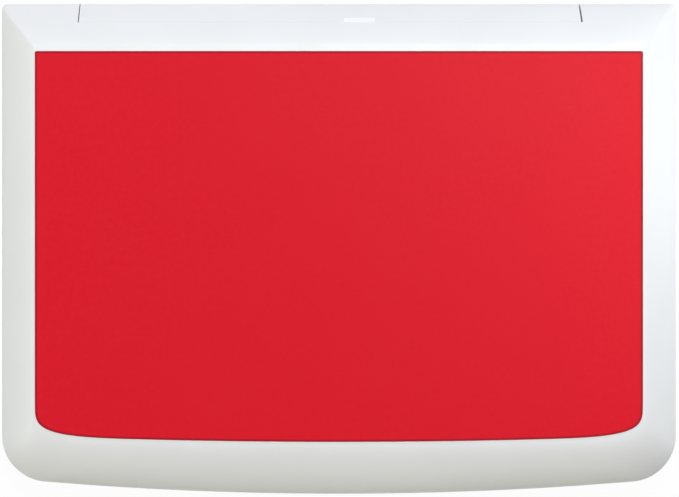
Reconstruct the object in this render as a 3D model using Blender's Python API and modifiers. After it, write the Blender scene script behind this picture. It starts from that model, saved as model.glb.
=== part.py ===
"""An ink pad in a flat moulded case with a hinged lid.

The frame is in metres: X runs across the case, +Y to the hinge at the back, +Z up, and the
origin is the middle of the case on the table. Both halves of the case share one outline, with
crisp back corners, round front corners and a bowed front. The lid turns on two pins at the ends
of the base's hinge block, which stands in a round-bottomed notch of the lid's back edge.
"""

import math

import bmesh
import bpy
from mathutils import Matrix

MM = 0.001

# Case
CASE_HEIGHT = 18.0 * MM
FRONT_BOW_RADIUS = 690.0 * MM
FRONT_CORNER_RADIUS = 8.2 * MM
BACK_CORNER_RADIUS = 1.4 * MM
WALL = 1.6 * MM
BASE_HEIGHT = 9.0 * MM
PARTING_GAP = 0.4 * MM

# Lid
LID_BAND = 1.6 * MM
LID_INNER_BAND = 1.0 * MM
RIM_CHAMFER = 0.3 * MM
LID_TOP = 1.8 * MM
CEILING_INSET = 0.3 * MM
SIDE_ROUNDNESS = 1.25
FRONT_ROUNDNESS = 1.5
SLOPE_STEPS = 6
SEAL_RIB = 1.2 * MM
SEAL_GAP = 0.4 * MM

# Label on the lid
LABEL_SIDE_MARGIN = 7.35 * MM
LABEL_BACK_MARGIN = 9.9 * MM
LABEL_FRONT_MARGIN = 10.8 * MM
LABEL_BOW_RADIUS = 1500.0 * MM
LABEL_CORNER_REACH = 11.6 * MM
LABEL_CORNER_SIDE = 5.8 * MM
LABEL_CORNER_POWER = 2.6
LABEL_BACK_RADIUS = 0.3 * MM
LABEL_THICKNESS = 0.2 * MM
LABEL_CLEARANCE = 0.2 * MM
LABEL_SEAT_GAP = 0.05 * MM
LABEL_SINK = 0.1 * MM
LAND_SIDE = 0.5 * MM
LAND_BACK = 1.2 * MM

# Base
FLOOR = 1.6 * MM
LID_SIDE_OVERHANG = 0.4 * MM
LID_FRONT_OVERHANG = 1.2 * MM
FOOT_INSET = 2.2 * MM
FOOT_HEIGHT = 1.5 * MM
WALL_DRAFT = 0.5 * MM
BASE_LABEL_WIDTH = 72.0 * MM
BASE_LABEL_DEPTH = 44.0 * MM
BASE_LABEL_RADIUS = 3.0 * MM

# Hinge
HINGE_SETBACK = 2.6 * MM
HINGE_DROP = 0.6 * MM
NOTCH_RADIUS = 6.65 * MM
NOTCH_GAP = 0.3 * MM
BLOCK_LEFT_MARGIN = 15.3 * MM
BLOCK_RIGHT_MARGIN = 19.1 * MM
SLIT = 0.4 * MM
SWING_CLEARANCE = 0.4 * MM
BLOCK_FOOT = 0.8 * MM
PIN_RADIUS = 1.0 * MM
PIN_SEAT = 5.0 * MM
PIN_FIT = 0.06 * MM
PIN_PLAY = 0.1 * MM
PIN_END_GAP = 0.4 * MM
EAR_THICKNESS = 3.0 * MM
EAR_RADIUS = 2.5 * MM
CORE_POCKETS = 7
CORE_RIB = 1.6 * MM
CORE_ROOF = 2.4 * MM
GATE_FLAT_WIDTH = 6.0 * MM
GATE_FLAT_DEPTH = 1.0 * MM
GATE_FLAT_SINK = 0.75 * MM
GATE_FLAT_X = 4.0 * MM

# Tray and pad
TRAY_GAP = 0.3 * MM
TRAY_SEAT_GAP = 0.2 * MM
TRAY_WALL = 1.2 * MM
DECK_HEIGHT = 8.2 * MM
LIP_THICKNESS = 1.0 * MM
LIP_ENGAGEMENT = 0.6 * MM
PAD_WIDTH = 110.0 * MM
PAD_DEPTH = 70.0 * MM
PAD_CORNER_RADIUS = 3.0 * MM
PAD_CROWN = 0.5 * MM
PAD_RISE = 1.0 * MM
PAD_EDGE_ROUND = 0.5 * MM
DECK_SIDE_MARGIN = 4.2 * MM
DECK_BACK_MARGIN = 1.2 * MM
DECK_FRONT_MARGIN = 5.13 * MM
CLOTH = 0.5 * MM
CLOTH_GAP = 0.1 * MM
FELT_GAP = 0.3 * MM
FELT_SEAT_GAP = 0.2 * MM
FRAME_BORDER = 3.2 * MM
FRAME_HEIGHT = 1.2 * MM
FRAME_GAP = 0.3 * MM
FRAME_EDGE_ROUND = 0.4 * MM
BRIM_INSET = 0.6 * MM

# Snap hook
HOOK_WIDTH = 16.0 * MM
HOOK_THICKNESS = 1.2 * MM
HOOK_REACH = 0.8 * MM
HOOK_HEAD = 1.0 * MM
HOOK_CLEARANCE = 0.35 * MM
HOOK_SIDE_GAP = 0.6 * MM

# Derived sizes: the case is as large as the pad, its frame and the margins around them need
FRAME_INNER_WIDTH = PAD_WIDTH + 2 * FRAME_GAP
FRAME_INNER_DEPTH = PAD_DEPTH + 2 * FRAME_GAP
FRAME_WIDTH = FRAME_INNER_WIDTH + 2 * FRAME_BORDER
FRAME_DEPTH = FRAME_INNER_DEPTH + 2 * FRAME_BORDER
EDGE_WIDTH = LIP_THICKNESS + TRAY_GAP + WALL
SWING_RADIUS = math.hypot(HINGE_SETBACK, HINGE_DROP)
BACK_ROOM = HINGE_SETBACK + SWING_RADIUS + SWING_CLEARANCE + EDGE_WIDTH + DECK_BACK_MARGIN
FRONT_ROOM = DECK_FRONT_MARGIN + EDGE_WIDTH + LID_FRONT_OVERHANG
CASE_WIDTH = FRAME_WIDTH + 2 * (DECK_SIDE_MARGIN + EDGE_WIDTH + LID_SIDE_OVERHANG)
CASE_DEPTH = FRAME_DEPTH + BACK_ROOM + FRONT_ROOM

# Derived places
HALF_WIDTH = CASE_WIDTH / 2
BACK_Y = CASE_DEPTH / 2
FRONT_Y = -CASE_DEPTH / 2
RIM_Z = BASE_HEIGHT + PARTING_GAP
BAND_Z = RIM_Z + LID_BAND
CEILING_Z = CASE_HEIGHT - LID_TOP
LABEL_HALF_WIDTH = HALF_WIDTH - LABEL_SIDE_MARGIN
LABEL_BACK_Y = BACK_Y - LABEL_BACK_MARGIN
LABEL_FRONT_Y = FRONT_Y + LABEL_FRONT_MARGIN
POCKET_DEPTH = LABEL_THICKNESS + LABEL_SEAT_GAP + LABEL_SINK
SLOPE_SIDE = LABEL_SIDE_MARGIN - LAND_SIDE
SLOPE_BACK = LABEL_BACK_MARGIN - LAND_BACK
SLOPE_FRONT = LABEL_FRONT_MARGIN - LAND_SIDE
HINGE_Y = BACK_Y - HINGE_SETBACK
HINGE_Z = RIM_Z - HINGE_DROP
BLOCK_LEFT = -HALF_WIDTH + BLOCK_LEFT_MARGIN
BLOCK_RIGHT = HALF_WIDTH - BLOCK_RIGHT_MARGIN
BASE_BACK_Y = HINGE_Y - SWING_RADIUS - SWING_CLEARANCE
BASE_HALF_WIDTH = HALF_WIDTH - LID_SIDE_OVERHANG
BASE_FRONT_Y = FRONT_Y + LID_FRONT_OVERHANG
TRAY_HALF_WIDTH = BASE_HALF_WIDTH - WALL - TRAY_GAP
TRAY_BACK_Y = BASE_BACK_Y - WALL - TRAY_GAP
TRAY_FRONT_Y = BASE_FRONT_Y + WALL + TRAY_GAP
TRAY_RADIUS = FRONT_CORNER_RADIUS - WALL - TRAY_GAP
LIP_Z = RIM_Z + LIP_ENGAGEMENT
BRIM_Z = DECK_HEIGHT + CLOTH_GAP
FRAME_Z = BRIM_Z + CLOTH + CLOTH_GAP
FRAME_TOP_Z = FRAME_Z + FRAME_HEIGHT
PAD_EDGE_Z = FRAME_TOP_Z + PAD_RISE
PAD_Y = BACK_Y - BACK_ROOM - FRAME_DEPTH / 2
WELL_Z = FLOOR + TRAY_SEAT_GAP
STRAIGHT = 1000.0
ROUND_POWER = 2.0

# Facets
FRONT_STEPS = 12
CORNER_STEPS = 8
BACK_STEPS = 3
ROD_SEGMENTS = 24
NOTCH_SEGMENTS = 64


def arc(centre, radius, start, end, steps):
    """Points on a circle from one angle to another, both ends included."""
    angles = [start + (end - start) * i / steps for i in range(steps + 1)]
    return [(centre[0] + radius * math.cos(a), centre[1] + radius * math.sin(a)) for a in angles]


def round_corner(radius):
    """A front corner that is a quarter circle: reach along the front, reach along the side, power."""
    return radius, radius, ROUND_POWER


def outline(half_width, back_y, front_y, corner, back_radius, bow_radius=FRONT_BOW_RADIUS):
    """Case outline, counter-clockwise from the back right corner.

    The front is an arc of the bow radius. Each front corner lifts off that arc along a quarter of a
    superellipse, whose reach along the front and along the side may differ.
    """
    reach, side, power = corner
    back_x = half_width - back_radius
    top_y = back_y - back_radius
    turns = [math.pi / 2 * i / CORNER_STEPS for i in range(CORNER_STEPS + 1)]
    bend = [
        (half_width - reach * (1.0 - math.sin(a) ** (2.0 / power)), side * (1.0 - math.cos(a) ** (2.0 / power)))
        for a in turns
    ]
    flat = half_width - reach
    front = [(flat * (2.0 * i / FRONT_STEPS - 1.0), 0.0) for i in range(1, FRONT_STEPS)]
    path = [(-x, lift) for x, lift in reversed(bend)] + front + bend
    points = arc((back_x, top_y), back_radius, 0.0, math.pi / 2, BACK_STEPS)
    points += arc((-back_x, top_y), back_radius, math.pi / 2, math.pi, BACK_STEPS)
    points += [(x, front_y + bow_radius - math.sqrt(bow_radius ** 2 - x ** 2) + lift) for x, lift in path]
    return points


def rectangle(width, depth, radius):
    """Outline of a rounded rectangle about the middle of the pad."""
    corner = round_corner(radius)
    return outline(width / 2, PAD_Y + depth / 2, PAD_Y - depth / 2, corner, radius, STRAIGHT)


def ring(points, z):
    """The same outline at one height."""
    return [(x, y, z) for x, y in points]


def slope_inset(share, width, roundness):
    """Plan inset of a lid slope at a share of its height, along a superellipse."""
    return width * (1.0 - (1.0 - share ** roundness) ** (1.0 / roundness))


def slope_shares():
    """Heights of the slope's rings as shares, closer together near the top edge."""
    angles = [math.pi / 2 * i / SLOPE_STEPS for i in range(1, SLOPE_STEPS + 1)]
    return [math.sin(a) ** (2.0 / SIDE_ROUNDNESS) for a in angles]


def lid_ring(side, back, front, share, z, radius_cut=0.0):
    """One ring of the lid, inset by its own amount on each side."""
    start = round_corner(FRONT_CORNER_RADIUS - radius_cut)
    end = label_corner(LAND_SIDE - radius_cut)
    corner = [a + (b - a) * share for a, b in zip(start, end)]
    bow_radius = 1.0 / ((1.0 - share) / FRONT_BOW_RADIUS + share / LABEL_BOW_RADIUS)
    back_radius = BACK_CORNER_RADIUS * (1.0 - 0.7 * share)
    points = outline(HALF_WIDTH - side, BACK_Y - back, FRONT_Y + front, corner, back_radius, bow_radius)
    return ring(points, z)


def lid_outer_rings():
    """Rim, upright band, slopes, flat top and the label's pocket."""
    rings = [lid_ring(RIM_CHAMFER, RIM_CHAMFER, RIM_CHAMFER, 0.0, RIM_Z)]
    rings.append(lid_ring(0.0, 0.0, 0.0, 0.0, RIM_Z + RIM_CHAMFER))
    rings.append(lid_ring(0.0, 0.0, 0.0, 0.0, BAND_Z))
    for share in slope_shares():
        side = slope_inset(share, SLOPE_SIDE, SIDE_ROUNDNESS)
        back = slope_inset(share, SLOPE_BACK, SIDE_ROUNDNESS)
        front = slope_inset(share, SLOPE_FRONT, FRONT_ROUNDNESS)
        z = BAND_Z + (CASE_HEIGHT - BAND_Z) * share
        rings.append(lid_ring(side, back, front, side / SLOPE_SIDE, z))
    pocket = label_outline(LABEL_CLEARANCE)
    rings.append(ring(pocket, CASE_HEIGHT))
    rings.append(ring(pocket, CASE_HEIGHT - POCKET_DEPTH))
    return rings


def lid_inner_rings():
    """Inside of the lid from the rim to the ceiling."""
    inner_z = RIM_Z + LID_INNER_BAND
    rings = [lid_ring(WALL, WALL, WALL, 0.0, RIM_Z, WALL)]
    rings.append(lid_ring(WALL, WALL, WALL, 0.0, inner_z, WALL))
    for share in slope_shares():
        side = WALL + slope_inset(share, SLOPE_SIDE + CEILING_INSET - WALL, SIDE_ROUNDNESS)
        back = WALL + slope_inset(share, SLOPE_BACK + CEILING_INSET - WALL, SIDE_ROUNDNESS)
        front = WALL + slope_inset(share, SLOPE_FRONT + CEILING_INSET - WALL, FRONT_ROUNDNESS)
        z = inner_z + (CEILING_Z - inner_z) * share
        rings.append(lid_ring(side, back, front, side / SLOPE_SIDE, z, WALL * (1.0 - share)))
    return rings


def seal_rib(cutters):
    """The rib that hangs from the lid's ceiling over the middle of the frame's border."""
    width = FRAME_INNER_WIDTH + FRAME_BORDER
    depth = FRAME_INNER_DEPTH + FRAME_BORDER
    outer = rectangle(width + SEAL_RIB, depth + SEAL_RIB, PAD_CORNER_RADIUS + SEAL_RIB)
    inner = rectangle(width - SEAL_RIB, depth - SEAL_RIB, PAD_CORNER_RADIUS)
    return plate("seal_rib", [outer, inner], FRAME_TOP_Z + SEAL_GAP, CEILING_Z + LID_TOP / 2, cutters)


def label_corner(margin):
    """Front corner of the lid's label, grown by a margin."""
    return LABEL_CORNER_REACH + margin, LABEL_CORNER_SIDE + margin, LABEL_CORNER_POWER


def label_outline(margin):
    """Outline of the lid's label, grown by a margin."""
    return outline(
        LABEL_HALF_WIDTH + margin,
        LABEL_BACK_Y + margin,
        LABEL_FRONT_Y - margin,
        label_corner(margin),
        LABEL_BACK_RADIUS + margin,
        LABEL_BOW_RADIUS,
    )


def base_label_outline(margin):
    """Outline of the label under the base, grown by a margin."""
    return rectangle(BASE_LABEL_WIDTH + 2 * margin, BASE_LABEL_DEPTH + 2 * margin, BASE_LABEL_RADIUS + margin)


def base_ring(inset, z):
    """One ring of the base's outside or inside."""
    corner = round_corner(FRONT_CORNER_RADIUS - inset)
    back_radius = max(BACK_CORNER_RADIUS - inset, LABEL_BACK_RADIUS)
    points = outline(
        BASE_HALF_WIDTH - inset, BASE_BACK_Y - inset, BASE_FRONT_Y + inset, corner, back_radius
    )
    return ring(points, z)


def base_rings():
    """Label pocket, round foot, drafted wall, top edge, inside wall and floor."""
    pocket = base_label_outline(LABEL_CLEARANCE)
    rings = [ring(pocket, POCKET_DEPTH), ring(pocket, 0.0)]
    for angle in (0.0, 30.0, 60.0, 90.0):
        turn = math.radians(angle)
        inset = WALL_DRAFT + (FOOT_INSET - WALL_DRAFT) * (1.0 - math.sin(turn))
        rings.append(base_ring(inset, FOOT_HEIGHT * (1.0 - math.cos(turn))))
    rings.append(base_ring(0.0, BASE_HEIGHT))
    rings.append(base_ring(WALL, BASE_HEIGHT))
    rings.append(base_ring(WALL + WALL_DRAFT, FLOOR))
    return rings


def tray_ring(inset, z):
    """One ring of the tray's outer edge."""
    points = outline(
        TRAY_HALF_WIDTH - inset,
        TRAY_BACK_Y - inset,
        TRAY_FRONT_Y + inset,
        round_corner(TRAY_RADIUS - inset),
        max(BACK_CORNER_RADIUS - inset, LABEL_BACK_RADIUS),
    )
    return ring(points, z)


def tray_rings():
    """Well, deck, lip, edge, underside of the deck and outside of the well."""
    felt_room = 2 * (FELT_GAP - CLOTH)
    well = rectangle(PAD_WIDTH + felt_room, PAD_DEPTH + felt_room, PAD_CORNER_RADIUS)
    shell = rectangle(
        PAD_WIDTH + felt_room + 2 * TRAY_WALL,
        PAD_DEPTH + felt_room + 2 * TRAY_WALL,
        PAD_CORNER_RADIUS + TRAY_WALL,
    )
    deck_under = DECK_HEIGHT - TRAY_WALL
    return [
        ring(well, WELL_Z + TRAY_WALL),
        ring(well, DECK_HEIGHT),
        tray_ring(LIP_THICKNESS, DECK_HEIGHT),
        tray_ring(LIP_THICKNESS, LIP_Z),
        tray_ring(0.0, LIP_Z),
        tray_ring(0.0, deck_under),
        ring(shell, deck_under),
        ring(shell, WELL_Z),
    ]


def cloth_rings():
    """Hat-shaped cover: inside, brim, upright side, round edge and crowned top."""
    inner = rectangle(PAD_WIDTH - 2 * CLOTH, PAD_DEPTH - 2 * CLOTH, PAD_CORNER_RADIUS - CLOTH)
    brim_width = FRAME_WIDTH - 2 * BRIM_INSET
    brim_depth = FRAME_DEPTH - 2 * BRIM_INSET
    brim = rectangle(brim_width, brim_depth, PAD_CORNER_RADIUS + FRAME_BORDER)
    side = rectangle(PAD_WIDTH, PAD_DEPTH, PAD_CORNER_RADIUS)
    rings = [
        ring(inner, PAD_EDGE_Z - CLOTH),
        ring(inner, BRIM_Z),
        ring(brim, BRIM_Z),
        ring(brim, BRIM_Z + CLOTH),
        ring(side, BRIM_Z + CLOTH),
        ring(side, PAD_EDGE_Z - PAD_EDGE_ROUND),
    ]
    for share in (0.25, 0.6, 1.0):
        inset = PAD_EDGE_ROUND * (1.0 - math.cos(share * math.pi / 2))
        lift = PAD_EDGE_ROUND * math.sin(share * math.pi / 2)
        edge = rectangle(PAD_WIDTH - 2 * inset, PAD_DEPTH - 2 * inset, PAD_CORNER_RADIUS - inset)
        rings.append(ring(edge, PAD_EDGE_Z - PAD_EDGE_ROUND + lift))
    top_depth = PAD_DEPTH / 2 - PAD_EDGE_ROUND
    for share in (0.12, 0.3, 0.55, 0.8):
        inset = 2 * (PAD_EDGE_ROUND + top_depth * share)
        top = rectangle(PAD_WIDTH - inset, PAD_DEPTH - inset, PAD_CORNER_RADIUS)
        rings.append(ring(top, PAD_EDGE_Z + PAD_CROWN * (1.0 - (1.0 - share) ** 2)))
    return rings


def back_slope(share):
    """Side view of the lid's back slope: the place at a share of its height."""
    y = BACK_Y - slope_inset(share, SLOPE_BACK, SIDE_ROUNDNESS)
    return y, BAND_Z + (CASE_HEIGHT - BAND_Z) * share


def hinge_distance(point):
    """Distance of a place in the side view from the hinge line."""
    return math.hypot(point[0] - HINGE_Y, point[1] - HINGE_Z)


def slope_share_at(radius):
    """Share of the back slope's height where it is a given distance from the hinge line."""
    low, high = 0.0, 1.0
    for _ in range(40):
        middle = (low + high) / 2
        if hinge_distance(back_slope(middle)) < radius:
            low = middle
        else:
            high = middle
    return low


def block_section():
    """Side view of the hinge block: foot, back, lid slope, notch arc and front."""
    front = BASE_BACK_Y - WALL / 2
    radius = NOTCH_RADIUS - NOTCH_GAP
    edge = slope_share_at(radius)
    points = [(front, BLOCK_FOOT), (BACK_Y, BLOCK_FOOT)]
    points += [back_slope(edge * i / SLOPE_STEPS) for i in range(SLOPE_STEPS)]
    y, z = back_slope(edge)
    start = math.atan2(z - HINGE_Z, y - HINGE_Y)
    end = math.acos((front - HINGE_Y) / radius)
    return points + arc((HINGE_Y, HINGE_Z), radius, start, end, 8)


def ear_section():
    """Side view of a lid ear: a round end about the pin and a web up into the slope."""
    points = arc((HINGE_Y, HINGE_Z), EAR_RADIUS, math.pi, 2 * math.pi, 12)
    for share in (0.15, 0.3, 0.45, 0.6, 0.75):
        y, z = back_slope(share)
        if HINGE_Y - EAR_RADIUS < y - WALL / 2 < HINGE_Y + EAR_RADIUS:
            points.append((y - WALL / 2, z - WALL / 2))
    points.append((HINGE_Y - EAR_RADIUS, points[-1][1]))
    return points


def hook_section():
    """Side view of the snap hook: a tongue with a wedge head under the deck."""
    slot_front = hook_slot_front()
    front = slot_front + HOOK_CLEARANCE
    back = front + HOOK_THICKNESS
    catch_z = DECK_HEIGHT - TRAY_WALL - HOOK_CLEARANCE
    return [
        (back, catch_z - HOOK_HEAD),
        (back, CEILING_Z),
        (front, CEILING_Z - WALL / 2),
        (front, catch_z),
        (front - HOOK_REACH, catch_z),
        (front, catch_z - HOOK_HEAD),
    ]


def hook_slot_front():
    """Front edge of the hook's slot, with the slot centred on the deck before the frame."""
    deck_front = TRAY_FRONT_Y + LIP_THICKNESS
    frame_front = PAD_Y - FRAME_DEPTH / 2
    return (deck_front + frame_front - HOOK_THICKNESS) / 2 - HOOK_CLEARANCE


def material(name, colour, roughness, metallic=0.0):
    """A plain material of the piece's own."""
    made = bpy.data.materials.new(name)
    made.use_nodes = True
    shader = made.node_tree.nodes["Principled BSDF"]
    shader.inputs["Base Color"].default_value = (*colour, 1.0)
    shader.inputs["Roughness"].default_value = roughness
    shader.inputs["Metallic"].default_value = metallic
    return made


def place(name, data, group):
    """A new object in a collection."""
    made = bpy.data.objects.new(name, data)
    group.objects.link(made)
    return made


def helper(made):
    """Mark an object as a cutter or a joined shape."""
    made.hide_render = True
    made.display_type = "WIRE"
    return made


def loft(name, rings, group):
    """A closed solid through rings of equal length, capped at both ends."""
    shape = bmesh.new()
    loops = [[shape.verts.new(point) for point in points] for points in rings]
    count = len(rings[0])
    for low, high in zip(loops, loops[1:]):
        for i in range(count):
            j = (i + 1) % count
            shape.faces.new((low[i], low[j], high[j], high[i]))
    shape.faces.new(list(reversed(loops[0])))
    shape.faces.new(loops[-1])
    bmesh.ops.recalc_face_normals(shape, faces=shape.faces)
    mesh = bpy.data.meshes.new(name)
    shape.to_mesh(mesh)
    shape.free()
    return place(name, mesh, group)


def plate(name, outlines, low, high, group):
    """A flat solid between two heights, from a filled 2D curve made a mesh."""
    curve = bpy.data.curves.new(name, "CURVE")
    curve.dimensions = "2D"
    curve.fill_mode = "BOTH"
    curve.extrude = (high - low) / 2
    for points in outlines:
        spline = curve.splines.new("POLY")
        spline.points.add(len(points) - 1)
        for target, point in zip(spline.points, points):
            target.co = (*point, 0.0, 1.0)
        spline.use_cyclic_u = True
    drawn = place(name + "_curve", curve, group)
    graph = bpy.context.evaluated_depsgraph_get()
    mesh = bpy.data.meshes.new_from_object(drawn.evaluated_get(graph))
    bpy.data.objects.remove(drawn)
    shape = bmesh.new()
    shape.from_mesh(mesh)
    bmesh.ops.remove_doubles(shape, verts=shape.verts, dist=0.000001)
    bmesh.ops.translate(shape, verts=shape.verts, vec=(0.0, 0.0, (low + high) / 2))
    bmesh.ops.recalc_face_normals(shape, faces=shape.faces)
    shape.to_mesh(mesh)
    shape.free()
    return place(name, mesh, group)


def section(name, points, left, right, group):
    """A side view drawn out along X between two places."""
    made = plate(name, [points], left, right, group)
    for vertex in made.data.vertices:
        y, z, x = vertex.co
        vertex.co = (x, y, z)
    return made


def box(name, low, high, group):
    """A box between two corners."""
    shape = bmesh.new()
    bmesh.ops.create_cube(shape, size=1.0)
    bmesh.ops.scale(shape, verts=shape.verts, vec=[b - a for a, b in zip(low, high)])
    bmesh.ops.translate(shape, verts=shape.verts, vec=[(a + b) / 2 for a, b in zip(low, high)])
    mesh = bpy.data.meshes.new(name)
    shape.to_mesh(mesh)
    shape.free()
    return place(name, mesh, group)


def rod(name, radius, left, right, group, segments=ROD_SEGMENTS):
    """A cylinder along X about the hinge line."""
    bpy.ops.mesh.primitive_cylinder_add(
        vertices=segments,
        radius=radius,
        depth=right - left,
        location=((left + right) / 2, HINGE_Y, HINGE_Z),
        rotation=(0.0, math.pi / 2, 0.0),
    )
    made = bpy.context.object
    made.name = name
    for owner in list(made.users_collection):
        owner.objects.unlink(made)
    group.objects.link(made)
    return made


def combine(target, other, operation):
    """Join or cut a solid with another one."""
    step = target.modifiers.new(other.name, "BOOLEAN")
    step.object = helper(other)
    step.operation = operation
    step.solver = "EXACT"


def round_edges(target, width):
    """Round the sharp edges of a solid."""
    step = target.modifiers.new("edges", "BEVEL")
    step.width = width
    step.segments = 2
    step.limit_method = "ANGLE"
    step.angle_limit = math.radians(40.0)


def hang(made, hinge):
    """Parent a piece to the hinge empty without moving it."""
    made.parent = hinge
    made.matrix_parent_inverse = Matrix.Translation(hinge.location).inverted()


def build_lid(parts, cutters):
    """Lid with its notch, ears and snap hook, and the label in its pocket, on the hinge empty."""
    hinge = place("lid_hinge", None, parts)
    hinge.location = (0.0, HINGE_Y, HINGE_Z)
    lid = loft("lid_shell", list(reversed(lid_inner_rings())) + lid_outer_rings(), parts)
    hang(lid, hinge)
    lid.data.materials.append(material("case_plastic_lid", (0.86, 0.87, 0.87), 0.45))
    combine(lid, seal_rib(cutters), "UNION")
    notch = (BLOCK_LEFT - SLIT, BLOCK_RIGHT + SLIT)
    combine(lid, rod("notch_cut", NOTCH_RADIUS, *notch, cutters, NOTCH_SEGMENTS), "DIFFERENCE")
    ears = (
        ("left", notch[0] - EAR_THICKNESS, notch[0]),
        ("right", notch[1], notch[1] + EAR_THICKNESS),
    )
    for side, low, high in ears:
        combine(lid, section(f"ear_{side}", ear_section(), low, high, cutters), "UNION")
    for side, low, high in ears:
        bore = rod(f"ear_bore_{side}", PIN_RADIUS + PIN_PLAY, low - SLIT, high + SLIT, cutters)
        combine(lid, bore, "DIFFERENCE")
    hook = section("hook", hook_section(), -HOOK_WIDTH / 2, HOOK_WIDTH / 2, cutters)
    combine(lid, hook, "UNION")
    low = CASE_HEIGHT - POCKET_DEPTH + LABEL_SEAT_GAP
    label = plate("lid_label", [label_outline(0.0)], low, low + LABEL_THICKNESS, parts)
    label.data.materials.append(material("label_red", (0.70, 0.02, 0.03), 0.4))
    hang(label, hinge)


def build_base(parts, cutters):
    """Base with its hinge block, the pins in the block's ends and the label underneath."""
    base = loft("base_shell", base_rings(), parts)
    base.data.materials.append(material("case_plastic_base", (0.84, 0.85, 0.85), 0.45))
    block = section("hinge_block", block_section(), BLOCK_LEFT, BLOCK_RIGHT, cutters)
    combine(base, block, "UNION")
    boss = PIN_SEAT + PIN_END_GAP + CORE_RIB
    first = BLOCK_LEFT + boss
    pitch = (BLOCK_RIGHT - boss - first + CORE_RIB) / CORE_POCKETS
    core_top = HINGE_Z + CORE_ROOF
    for i in range(CORE_POCKETS):
        left = first + pitch * i
        low = (left, BASE_BACK_Y + WALL / 2, -BLOCK_FOOT)
        high = (left + pitch - CORE_RIB, BACK_Y - WALL, core_top)
        combine(base, box(f"core_{i + 1}", low, high, cutters), "DIFFERENCE")
    combine(base, gate_flat(cutters), "DIFFERENCE")
    ends = (
        ("left", BLOCK_LEFT - SLIT - EAR_THICKNESS, BLOCK_LEFT + PIN_SEAT),
        ("right", BLOCK_RIGHT - PIN_SEAT, BLOCK_RIGHT + SLIT + EAR_THICKNESS),
    )
    for side, low, high in ends:
        bore = rod(f"pin_bore_{side}", PIN_RADIUS + PIN_FIT, low - PIN_END_GAP, high + PIN_END_GAP, cutters)
        combine(base, bore, "DIFFERENCE")
        pin = rod(f"hinge_pin_{side}", PIN_RADIUS, low, high, parts)
        pin.data.materials.append(material(f"pin_steel_{side}", (0.6, 0.6, 0.61), 0.3, 1.0))
        round_edges(pin, PIN_RADIUS / 4)
    low = POCKET_DEPTH - LABEL_SEAT_GAP - LABEL_THICKNESS
    label = plate("base_label", [base_label_outline(0.0)], low, low + LABEL_THICKNESS, parts)
    label.data.materials.append(material("label_white", (0.8, 0.8, 0.78), 0.5))


def gate_flat(cutters):
    """Cutter for the small level flat in the hinge block just behind the notch's edge."""
    edge_y, edge_z = back_slope(slope_share_at(NOTCH_RADIUS - NOTCH_GAP))
    half = GATE_FLAT_WIDTH / 2
    low = (GATE_FLAT_X - half, HINGE_Y - NOTCH_RADIUS, edge_z - GATE_FLAT_SINK)
    high = (GATE_FLAT_X + half, edge_y + GATE_FLAT_DEPTH, CASE_HEIGHT)
    return box("gate_flat", low, high, cutters)


def build_pad(parts, cutters):
    """Tray, felt, cloth cover and the frame that holds the cover's brim."""
    tray = loft("pad_tray", tray_rings(), parts)
    tray.data.materials.append(material("tray_plastic", (0.80, 0.81, 0.81), 0.5))
    slot_front = hook_slot_front()
    half = HOOK_WIDTH / 2 + HOOK_SIDE_GAP
    slot_back = slot_front + HOOK_THICKNESS + 2 * HOOK_CLEARANCE
    low = (-half, slot_front, DECK_HEIGHT - 2 * TRAY_WALL)
    high = (half, slot_back, DECK_HEIGHT + TRAY_WALL)
    combine(tray, box("hook_slot", low, high, cutters), "DIFFERENCE")

    felt_cut = 2 * (CLOTH + FELT_GAP)
    felt_outline = rectangle(PAD_WIDTH - felt_cut, PAD_DEPTH - felt_cut, PAD_CORNER_RADIUS - CLOTH)
    felt_low = WELL_Z + TRAY_WALL + FELT_SEAT_GAP
    felt = plate("felt_core", [felt_outline], felt_low, PAD_EDGE_Z - CLOTH - FELT_SEAT_GAP, parts)
    felt.data.materials.append(material("ink_felt", (0.35, 0.02, 0.03), 0.95))
    round_edges(felt, PAD_EDGE_ROUND)

    cloth = loft("pad_cloth", cloth_rings(), parts)
    cloth.data.materials.append(material("ink_cloth", (0.45, 0.02, 0.03), 0.6))

    hole = rectangle(FRAME_INNER_WIDTH, FRAME_INNER_DEPTH, PAD_CORNER_RADIUS + FRAME_GAP)
    edge = rectangle(FRAME_WIDTH, FRAME_DEPTH, PAD_CORNER_RADIUS + FRAME_BORDER)
    frame = plate("cloth_frame", [edge, hole], FRAME_Z, FRAME_TOP_Z, parts)
    frame.data.materials.append(material("frame_plastic", (0.83, 0.84, 0.84), 0.4))
    round_edges(frame, FRAME_EDGE_ROUND)


def main():
    for existing in list(bpy.data.objects):
        bpy.data.objects.remove(existing)
    parts = bpy.data.collections.new("ink_pad")
    cutters = bpy.data.collections.new("cutters")
    bpy.context.scene.collection.children.link(parts)
    bpy.context.scene.collection.children.link(cutters)
    build_base(parts, cutters)
    build_pad(parts, cutters)
    build_lid(parts, cutters)


main()
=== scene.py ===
"""An ink pad in a flat white case with a hinged lid, seen from straight above in soft light.

Lengths are in millimetres until a mesh is made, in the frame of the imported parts: X runs across
the case, +Y to the hinge and +Z up. A moulding is a table of rings, each a closed outline seen
from above. A row of the table gives the ring's height, half width, back, front, the reach of its
front corners along the front and along the side, their power, the radius of its back corners and
the curvature of its bowed front.
"""

import math

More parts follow.
